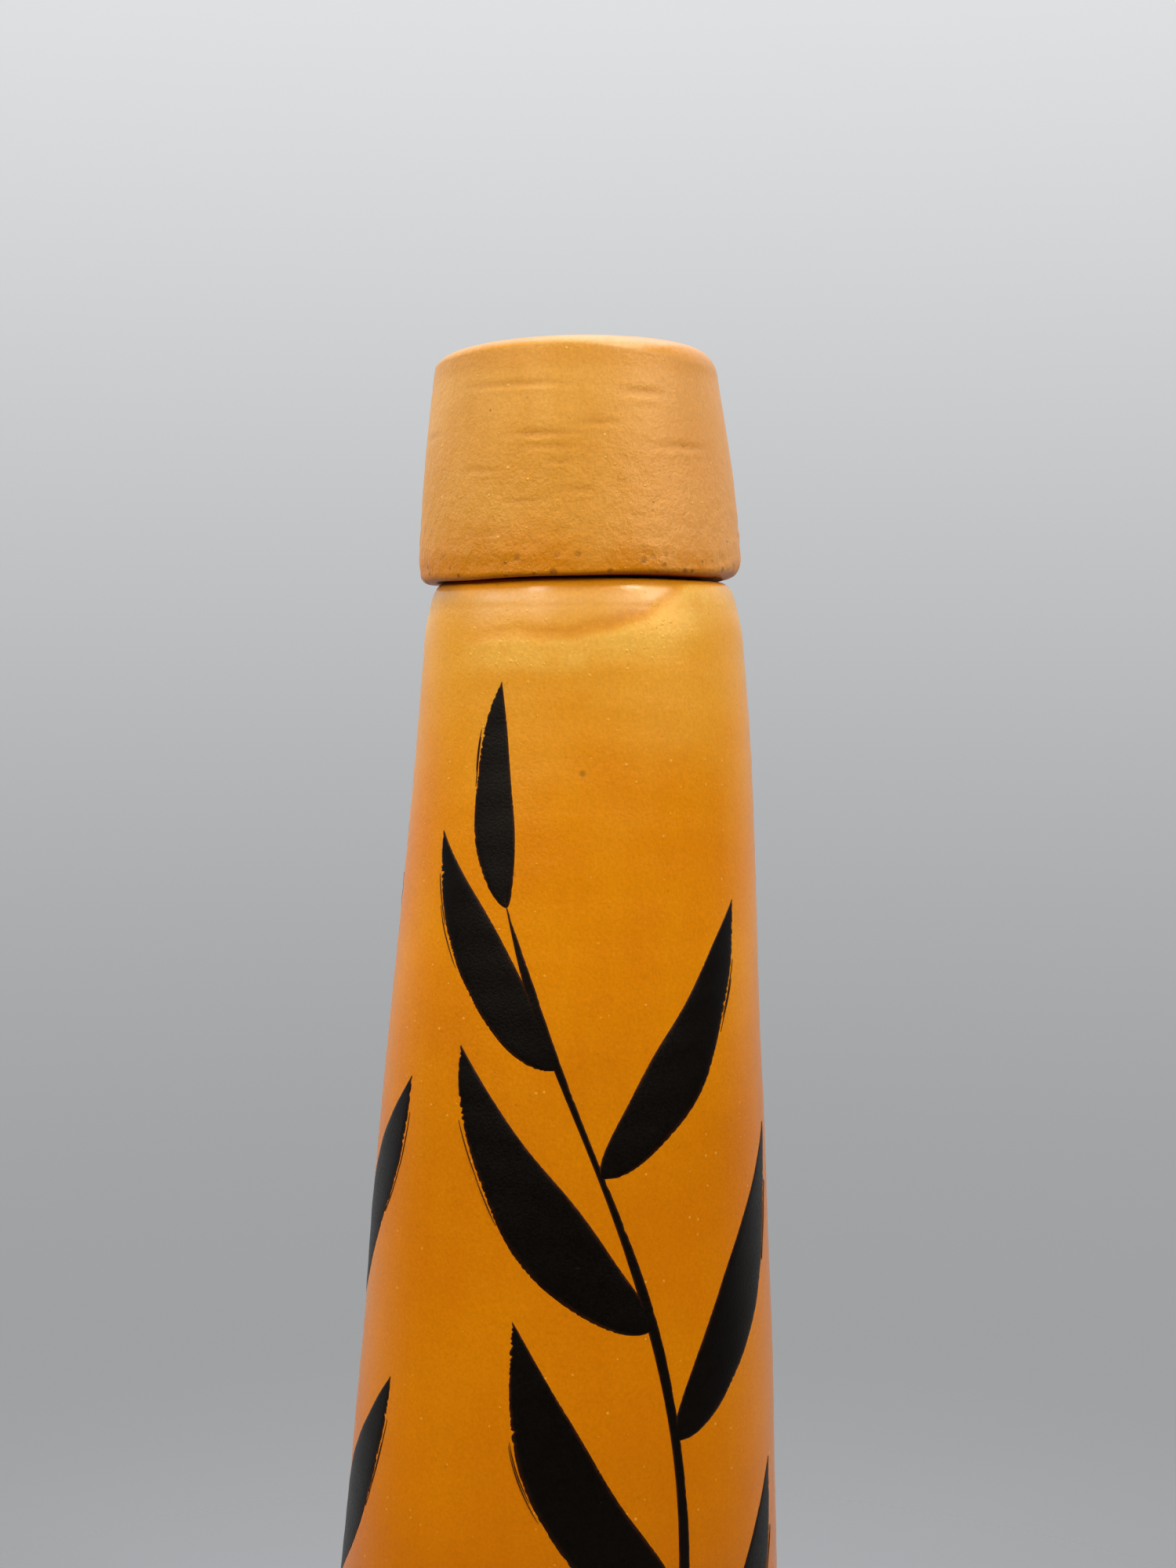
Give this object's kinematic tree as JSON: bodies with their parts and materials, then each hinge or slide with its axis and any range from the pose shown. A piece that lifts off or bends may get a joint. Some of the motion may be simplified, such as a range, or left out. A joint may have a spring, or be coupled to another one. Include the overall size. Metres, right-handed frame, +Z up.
{
  "type": "ceramic liquor bottle",
  "caption": "Tall tapering glazed stoneware bottle with a slight lean, closed by a hollow ceramic cap that carries a tapered cork in the hidden neck; brush-painted leaf decoration",
  "frame": {"origin": "centre of the foot, on the surface the bottle stands on", "axes": "+Z up along the bottle's height, the painted front faces -Y, the neck leans towards +X"},
  "size_m": [0.082, 0.0816, 0.2894],
  "materials": {
    "orange_glaze": "satin",
    "black_enamel": "satin",
    "tan_glaze": "satin",
    "setting_plaster": "matte",
    "natural_cork": "matte"
  },
  "bodies": {
    "bottle": {"bottle_body": "orange_glaze"},
    "stopper": {"cap": "tan_glaze", "cork_setting": "setting_plaster", "cork_stopper": "natural_cork"}
  },
  "joints": [
    {"name": "stopper_lift", "type": "slide", "parent": "bottle", "child": "stopper", "axis": [0, 0, 1], "range_m": [0, 0.06]}
  ]
}
